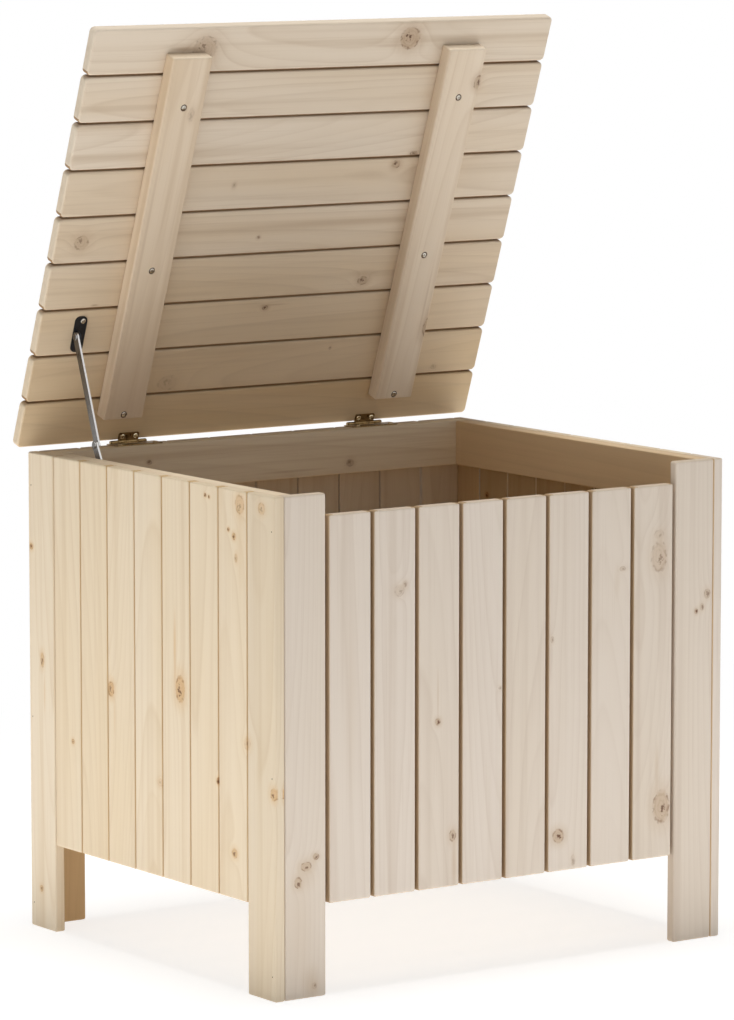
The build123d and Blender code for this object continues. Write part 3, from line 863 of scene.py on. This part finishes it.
@dataclass
class Carcass:
    """The box itself: legs, walls of slats, rails, cleats and floor."""

    nodes: Mapping[str, Piece]
    front_pitch: float = 56.2 * MM
    side_pitch: float = 53.5 * MM
    floor_pitch: float = 56.81 * MM
    front_marks: Sequence[Mark] = (
        Knot(-135, 414, 6, 1.0, 0.35), Knot(-128, 420, 3, 1.2, 0.4), Knot(-86, 272, 3.4, 1.1, 0.95),
        Streak(-86, 300, 1.2, 40, 0.6), Knot(-67, 150, 4.2, 1.5, 0.75), Streak(-65, 120, 3.4, 34, 0.55),
        Knot(71, 134, 7.2, 1.0, 0.95), Knot(91, 106, 2.8, 2.2, 0.35), Knot(155, 413, 4, 0.6, 0.4),
        Streak(148, 400, 5, 22, 0.22), Knot(204, 422, 10, 1.6, 0.5), Knot(204, 446, 6, 0.8, 0.3),
        Knot(209, 151, 10.5, 1.6, 0.85), Streak(203, 192, 3.5, 34, 0.4), Knot(255, 359, 2.4, 1.2, 0.95),
        Knot(263, 363, 3, 1.3, 0.6), Knot(270, 377, 4.2, 1.2, 0.6), Knot(284, 66, 4, 0.7, 0.8),
        Knot(-262, 122, 4.5, 1.3, 0.8), Knot(-252, 138, 6.5, 0.7, 0.75), Knot(-240, 147, 3.8, 0.9, 0.9),
        Knot(-242, 12, 3, 1.2, 0.5), Knot(-283, 217, 5, 1.2, 0.6), Knot(-6, 300, 2, 1.0, 0.35),
        Knot(62, 345, 2.2, 1.6, 0.4), Streak(-196, 300, 9, 120, 0.14),
        Streak(-252, 132, 17, 24, 0.3), Streak(-262, 70, 24, 90, 0.2), Streak(-246, 14, 13, 24, 0.4))
    left_marks: Sequence[Mark] = (
        Knot(73, 284, 6, 1.3, 0.9), Streak(66, 255, 3, 24, 0.25), Knot(-62, 302, 8.5, 1.6, 0.85),
        Streak(-52, 345, 3.2, 46, 0.55), Knot(-175, 508, 8, 1.2, 0.55), Knot(-215, 508, 6, 1.0, 0.45),
        Knot(-164, 474, 3, 1.2, 0.9), Knot(-154, 480, 2.2, 1.0, 0.9), Knot(-168, 452, 2.6, 1.8, 0.5),
        Knot(-164, 144, 5, 1.0, 0.75), Knot(-133, 215, 2.6, 1.3, 0.95), Knot(-111, 511, 2.2, 1.0, 0.9),
        Knot(-118, 510, 1.8, 1.0, 0.9), Knot(150, 216, 2.8, 1.0, 0.8), Knot(212, 297, 3.8, 2.0, 0.7),
        Knot(217, 44, 3, 1.2, 0.7), Knot(233, 419, 3.4, 1.0, 0.9), Knot(-236, 216, 5.5, 1.1, 0.8),
        Knot(-188, 262, 6, 1.1, 0.35), Knot(-23, 197, 5, 0.8, 0.3), Streak(208, 260, 2.4, 26, 0.35),
        Streak(-176, 470, 12, 60, 0.16))
    right_marks: Sequence[Mark] = (
        Knot(-150, 210, 6, 1.2, 0.8), Knot(20, 390, 8, 1.4, 0.7), Knot(120, 150, 5, 1.1, 0.85),
        Knot(172, 440, 3, 1.0, 0.9), Knot(-60, 480, 4, 1.2, 0.6), Streak(24, 430, 3, 40, 0.4),
        Knot(-216, 120, 5, 1.4, 0.7), Knot(214, 300, 4, 1.2, 0.8))
    back_marks: Sequence[Mark] = (
        Knot(-180, 330, 7, 1.3, 0.8), Knot(-60, 190, 5, 1.1, 0.9), Knot(40, 420, 9, 1.5, 0.65),
        Knot(150, 260, 4, 1.2, 0.9), Knot(-120, 460, 3, 1.0, 0.9), Streak(46, 465, 3, 38, 0.4),
        Knot(-250, 250, 5, 1.2, 0.7), Knot(256, 160, 6, 1.3, 0.7))
    rail_marks: Sequence[Mark] = (
        Knot(484, 116, 4, 1.3, 0.45), Knot(503, -152, 2.6, 1.3, 0.5), Streak(480, 40, 2, 60, 0.3))
    floor_marks: Sequence[Mark] = (
        Knot(-190, 60, 7, 1.3, 0.7), Knot(40, -120, 6, 1.4, 0.8), Knot(210, 150, 5, 1.2, 0.8))

    @staticmethod
    def placed(marks: Sequence[Mark], wall: Grain) -> list[tuple[Mark, Vector]]:
        """Sets a wall's marks out in the shared frame.

        Args:
            marks: The marks, measured from the middle of the box's own width or depth.
            wall: The way the wall's boards run.

        Returns:
            Each mark with its place.
        """
        along, across = (Vector(axis) for axis in wall.value)
        shift = Vector((0.0, WALL_SHIFT * MM, 0.0))
        if wall is Grain.FLOOR:
            return [(m, along * m.across * MM + across * m.along * MM + shift) for m in marks]
        return [(m, along * m.along * MM + across * m.across * MM + shift) for m in marks]

    def dress_row(self, names: Iterable[str], grain: Grain, marks: Sequence[Mark], pine: Pine, seed: int,
                  pitch: float = 0.0, warmth_and_shade: Optional[float] = None, joined: tuple[int, ...] = ()) -> None:
        """Dresses boards that share a wall.

        Args:
            names: The boards' nodes.
            grain: The way they run.
            marks: The wall's knots and streaks.
            pine: The timber.
            seed: Starts the first board's random numbers.
            pitch: The boards' spacing, where one node is a row of them.
            warmth_and_shade: How much of the warm, darker tone the timber has, where it isn't left to chance;
                on the right rail it is painted shade, and the palest tone on the back rail is painted light.
            joined: The sides on which each board has a neighbour.
        """
        placed = self.placed(marks, grain)
        for number, name in enumerate(names):
            board = Board(self.nodes[name], grain, pitch, joined)
            board.mark(placed)
            pine.dress(board, seed + number, warmth_and_shade)
            LOG.info("%s: %d knots, %d streaks", name, len(board.knots), len(board.streaks))

    def dress(self) -> None:
        """Dresses every board of the carcass, and the legs' nails."""
        front, side = Grain.UPRIGHT_FRONT, Grain.UPRIGHT_SIDE
        back, cross = Grain.LEVEL_BACK, Grain.LEVEL_SIDE
        front_slats = [f"front_slat_{i}" for i in range(1, 9)]
        left_slats = [f"left_slat_{i}" for i in range(1, 8)]
        # The slats' joined sides get painted shade in the gaps between them.
        self.dress_row(front_slats, front, self.front_marks, FRONT_PINE, 10, joined=BOTH_SIDES)
        self.dress_row(left_slats, side, self.left_marks, SIDE_PINE, 30, joined=BOTH_SIDES)
        self.dress_row(["right_slats"], side, self.right_marks, SIDE_PINE, 50, self.side_pitch)
        self.dress_row(["back_slats"], front, self.back_marks, FRONT_PINE, 60, self.front_pitch)
        front_legs = ["leg_front_left_face", "leg_front_right_face"]
        self.dress_row(front_legs, front, self.front_marks, FRONT_PINE, 70)
        self.dress_row(["leg_back_left_face"], front, self.back_marks, LEG_PINE, 80)
        self.dress_row(["leg_back_right_face"], front, self.back_marks, FRONT_PINE, 81)
        self.dress_row(["leg_front_left_side"], side, self.left_marks, LEFT_LEG_PINE, 90)
        self.dress_row(["leg_back_left_side"], side, self.left_marks, SIDE_PINE, 91)
        right_legs = ["leg_front_right_side", "leg_back_right_side"]
        self.dress_row(right_legs, side, self.right_marks, LEG_PINE, 100)
        # Painted light and shade on the rails: the back rail takes the palest tone as painted light, the
        # right rail a dark warm tone as painted shade.
        long_rails = ["top_rail_back", "top_rail_front"]
        self.dress_row(long_rails, back, self.rail_marks, INNER_PINE, 110, warmth_and_shade=0.0)
        self.dress_row(["top_rail_left"], cross, (), INNER_PINE, 120, warmth_and_shade=0.0)
        self.dress_row(["top_rail_right"], cross, (), INNER_PINE, 121, warmth_and_shade=0.85)
        self.dress_row(["floor_boards"], Grain.FLOOR, self.floor_marks, INNER_PINE, 130, self.floor_pitch)
        self.dress_row(["floor_cleats"], back, (), INNER_PINE, 140)
        wear(self.nodes["leg_nails"], NAIL.make())
        LOG.info("leg_nails: dull steel")


@dataclass
class Lid:
    """The plank lid with its two battens and their screws."""

    nodes: Mapping[str, Piece]
    board_count: int = 9
    hinge_shade: float = 0.85
    shade_fall: float = 2.2
    batten_warmth: Pair = (0.3, 0.1)
    marks: Sequence[Mark] = (
        Knot(-157, 461, 13, 1.1, 0.55), Streak(-182, 461, 3, 20, 0.5), Knot(110, 466, 12, 1.0, 0.85),
        Streak(84, 458, 3, 30, 0.35), Knot(-267, 241, 8, 1.1, 0.55), Knot(127, 316, 4.6, 1.2, 0.85),
        Knot(148, 328, 3, 1.6, 0.6), Knot(115, 176, 5, 1.3, 0.7), Streak(116, 186, 5, 24, 0.3),
        Knot(-10, 150, 2.8, 1.4, 0.9), Streak(0, 153, 1.3, 26, 0.5), Knot(-38, 236, 2, 1.2, 0.5),
        Knot(211, 411, 8, 0.9, 0.5), Knot(-120, 66, 9, 1.4, 0.25), Knot(-84, 300, 3, 0.8, 0.45),
        Streak(-235, 166, 1.6, 6, 0.7), Knot(240, 62, 3, 1.2, 0.3), Streak(60, 250, 4, 120, 0.2),
        Streak(30, 42, 5, 150, 0.2), Streak(-120, 172, 4, 70, 0.2), Knot(90, 95, 2, 1.0, 0.4))
    batten_marks: Sequence[Mark] = (
        Knot(208, 121, 7.5, 1.6, 0.85), Knot(203, 418, 6, 1.3, 0.75), Knot(-170, 392, 4, 2.0, 0.25),
        Streak(-198, 250, 2.2, 190, 0.2), Streak(196, 150, 2, 60, 0.3), Streak(-182, 46, 60, 150, 0.34))

    def dress(self) -> None:
        """Dresses the lid's boards, battens and screws."""
        last = self.board_count
        # The lid boards' joined sides get painted shade in the gaps between them.
        ends = {1: (1,), last: (-1,)}
        boards = [Board(self.nodes[f"lid_board_{i}"], Grain.LID, joined=ends.get(i, BOTH_SIDES))
                  for i in range(1, last + 1)]
        rise = Vector(LID_RISE)
        edge = boards[0].centre - rise * boards[0].half.y

        def placed(marks: Sequence[Mark]) -> list[tuple[Mark, Vector]]:
            """Sets marks out from the lid's hinge edge."""
            return [(m, edge + Vector((m.across * MM, 0, 0)) + rise * m.along * MM) for m in marks]

        for number, board in enumerate(boards):
            board.mark(placed(self.marks))
            # Painted shade: each lid board gets more of the darker, warmer tone the nearer it lies to the
            # hinge.
            nearness = 1 - number / (last - 1)
            LID_PINE.dress(board, 200 + number, self.hinge_shade * nearness ** self.shade_fall)
            LOG.info("%s: %d knots, %d streaks", board.node.name, len(board.knots), len(board.streaks))
        for number, side in enumerate(("left", "right")):
            # The battens' screw holes get painted shade on their walls.
            batten = Board(self.nodes[f"lid_batten_{side}"], Grain.BATTEN, drilled=True)
            batten.mark(placed(self.batten_marks))
            BATTEN_PINE.dress(batten, 220 + number, self.batten_warmth[number])
            LOG.info("lid_batten_%s: %d knots", side, len(batten.knots))
        BATTEN_SCREWS.set_on(self.nodes["batten_screws"], "batten_screw_domes", LID_UNDERSIDE, "lid")


@dataclass
class Hinges:
    """The two butt hinges; their screws get domed, crossed heads in place of plain ones."""

    nodes: Mapping[str, Piece]

    def dress(self) -> None:
        """Dresses the leaves and pins, and sets the domed screws."""
        leaf = BRONZE.make()
        for side in ("left", "right"):
            wear(self.nodes[f"hinge_box_leaf_{side}"], leaf)
            wear(self.nodes[f"hinge_lid_leaf_{side}"], leaf)
        wear(self.nodes["hinge_pins"], leaf)
        LOG.info("hinge leaves and pins: bronze")
        HINGE_SCREWS.set_on(self.nodes["hinge_box_screws"], "hinge_box_domes", Vector((0, 0, 1)), "box")
        HINGE_SCREWS.set_on(self.nodes["hinge_lid_screws"], "hinge_lid_domes", LID_UNDERSIDE, "lid")


@dataclass
class Stay:
    """The folding stay on the left: brackets, two arms, rivets and screws."""

    nodes: Mapping[str, Piece]

    def dress(self) -> None:
        """Dresses the stay's pieces."""
        zinc, black, screw = ZINC.make(), BLACK.make(), SCREW.make()
        for piece in ("upper_arm", "lower_arm", "elbow_rivet", "lid_rivet", "box_rivet"):
            wear(self.nodes[f"stay_{piece}"], zinc)
        for piece in ("lid_bracket", "box_bracket"):
            wear(self.nodes[f"stay_{piece}"], black)
        wear(self.nodes["stay_box_screws"], screw)
        STAY_SCREWS.set_on(self.nodes["stay_lid_screws"], "stay_lid_domes", LID_UNDERSIDE, "lid")
        LOG.info("stay: zinc arms, black brackets")


@dataclass(frozen=True)
class Lamp:
    """A soft oblong lamp: its place, its aim, its width and height, its power in watts and its colour."""

    name: str
    place: Triple
    aim: Triple
    size: Pair
    power: float
    tint: Triple

    def hang(self) -> None:
        """Hangs the lamp."""
        data = bpy.data.lights.new(self.name, "AREA")
        data.shape = "RECTANGLE"
        data.size, data.size_y = self.size
        data.energy = self.power
        data.color = self.tint
        lamp = bpy.data.objects.new(self.name, data)
        bpy.context.scene.collection.objects.link(lamp)
        lamp.location = self.place
        lamp.rotation_mode = "QUATERNION"
        lamp.rotation_quaternion = (Vector(self.aim) - Vector(self.place)).to_track_quat("-Z", "Y")
        LOG.info("%s lamp hung", self.name)


@dataclass
class Studio:
    """A pale floor, soft light and the camera at the photograph's place."""

    eye: Triple = (-3.3145369, -4.7299914, 1.2165581)
    right: Triple = (0.8191806883564259, -0.5735355174596266, 0.00010018089118157825)
    down: Triple = (-0.07431523290326758, -0.10631763207845751, -0.9915512126298688)
    ahead: Triple = (0.5687004888185219, 0.8122521599365239, -0.12971577658876426)
    lens: float = 190.255
    floor_size: float = 60.0
    floor_white: Colour = (0.86, 0.86, 0.86, 1.0)
    floor_faint: Colour = (0.5, 0.5, 0.5, 1.0)
    floor_glow: float = 1.24
    floor_shade: float = 0.25
    floor_seen: float = 0.72
    floor_reach: Pair = (0.3, 1.2)
    glow_start: Pair = (-0.03, 0.16)
    glow_end: Pair = (1.9, 0.9)
    shade_half: Pair = (0.29, 0.24)
    horizon: Colour = (0.8, 0.8, 0.8, 1.0)
    zenith: Colour = (0.17, 0.17, 0.17, 1.0)
    sky_turn: float = 0.3
    lamps: Sequence[Lamp] = (
        Lamp("left", (-3.0, -0.4, 0.35), (0.0, 0.0, 0.3), (2.4, 0.6), 7.0, (1.0, 0.98, 0.95)),
        Lamp("front", (0.9, -3.2, 0.25), (0.0, 0.0, 0.3), (2.6, 0.4), 4.0, (0.98, 0.98, 1.0)),
        Lamp("top", (0.0, 0.0, 4.2), (0.0, 0.0, 0.0), (1.4, 1.4), 85.0, (1.0, 0.99, 0.97)))

    def camera(self) -> None:
        """Sets up the camera."""
        data = bpy.data.cameras.new("camera")
        data.lens = self.lens
        data.sensor_width = 36.0
        data.clip_start, data.clip_end = 0.05, 200.0
        camera = bpy.data.objects.new("camera", data)
        bpy.context.scene.collection.objects.link(camera)
        turn = Matrix((self.right, [-d for d in self.down], [-a for a in self.ahead])).transposed()
        camera.matrix_world = Matrix.Translation(self.eye) @ turn.to_4x4()
        bpy.context.scene.camera = camera
        LOG.info("camera set")

    def floor(self) -> None:
        """Lays the pale floor, white to the camera; it keeps the shadow and lights the walls from below."""
        bpy.ops.object.select_all(action="DESELECT")
        bpy.ops.mesh.primitive_plane_add(size=self.floor_size, location=(0, 0, 0))
        plane = bpy.context.active_object
        plane.name = "studio_floor"
        shader = Shader.named("studio_floor")
        x, y, _ = shader.parts(shader.node("ShaderNodeTexCoord").outputs["Object"])
        beside = shader.maths("MAXIMUM", abs(x) - self.shade_half[0], abs(y) - self.shade_half[1])
        clear = shader.smooth(beside, *self.glow_start) * shader.smooth(beside, *self.glow_end)
        glow = shader.either(clear, shader.glow(self.floor_shade), shader.glow(self.floor_glow))
        unseen = shader.both(shader.matt(self.floor_white), glow)
        near = shader.both(shader.matt(self.floor_faint), shader.glow(self.floor_seen))
        bright = shader.either(shader.smooth(beside, *self.floor_reach), near, shader.glow(1.0))
        wear(plane, shader.close(shader.either(self.seen(shader), unseen, bright)))
        LOG.info("studio_floor laid")

    @staticmethod
    def seen(shader: Shader) -> Value:
        """Gives 1 on rays that show the surroundings themselves, straight or mirrored, and else 0."""
        path = shader.node("ShaderNodeLightPath")
        kinds = ("Camera", "Glossy", "Transmission")
        camera, glossy, through = (Value(shader, path.outputs[f"Is {kind} Ray"]) for kind in kinds)
        return shader.maths("MINIMUM", camera + glossy + through, 1.0)

    def world(self) -> None:
        """Makes the pale surroundings: white when seen, and as light dimmer from above."""
        world = bpy.data.worlds.new("studio")
        bpy.context.scene.world = world
        shader = Shader(world)
        _, _, up = shader.parts(shader.node("ShaderNodeTexCoord").outputs["Generated"])
        sky = shader.blend(shader.smooth(up, 0.0, self.sky_turn), self.horizon, self.zenith)
        soft, white = (shader.node("ShaderNodeBackground", None, {"Color": c, "Strength": 1.0}).outputs[0]
                       for c in (sky, WHITE))
        shader.close(shader.either(self.seen(shader), soft, white))
        LOG.info("world set")

    def build(self) -> None:
        """Sets up the whole studio."""
        bpy.context.scene.view_settings.view_transform = "Standard"
        self.world()
        self.floor()
        for lamp in self.lamps:
            lamp.hang()
        self.camera()


def main() -> None:
    """Builds the studio and dresses each sub-assembly in order."""
    logging.basicConfig(level=logging.INFO, format="%(name)s: %(message)s")
    for old in list(bpy.data.objects):
        bpy.data.objects.remove(old)
    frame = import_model()
    nodes = frame["nodes"]
    for part in (Carcass(nodes), Lid(nodes), Hinges(nodes), Stay(nodes)):
        part.dress()
    Studio().build()


if __name__ == "__main__":
    main()
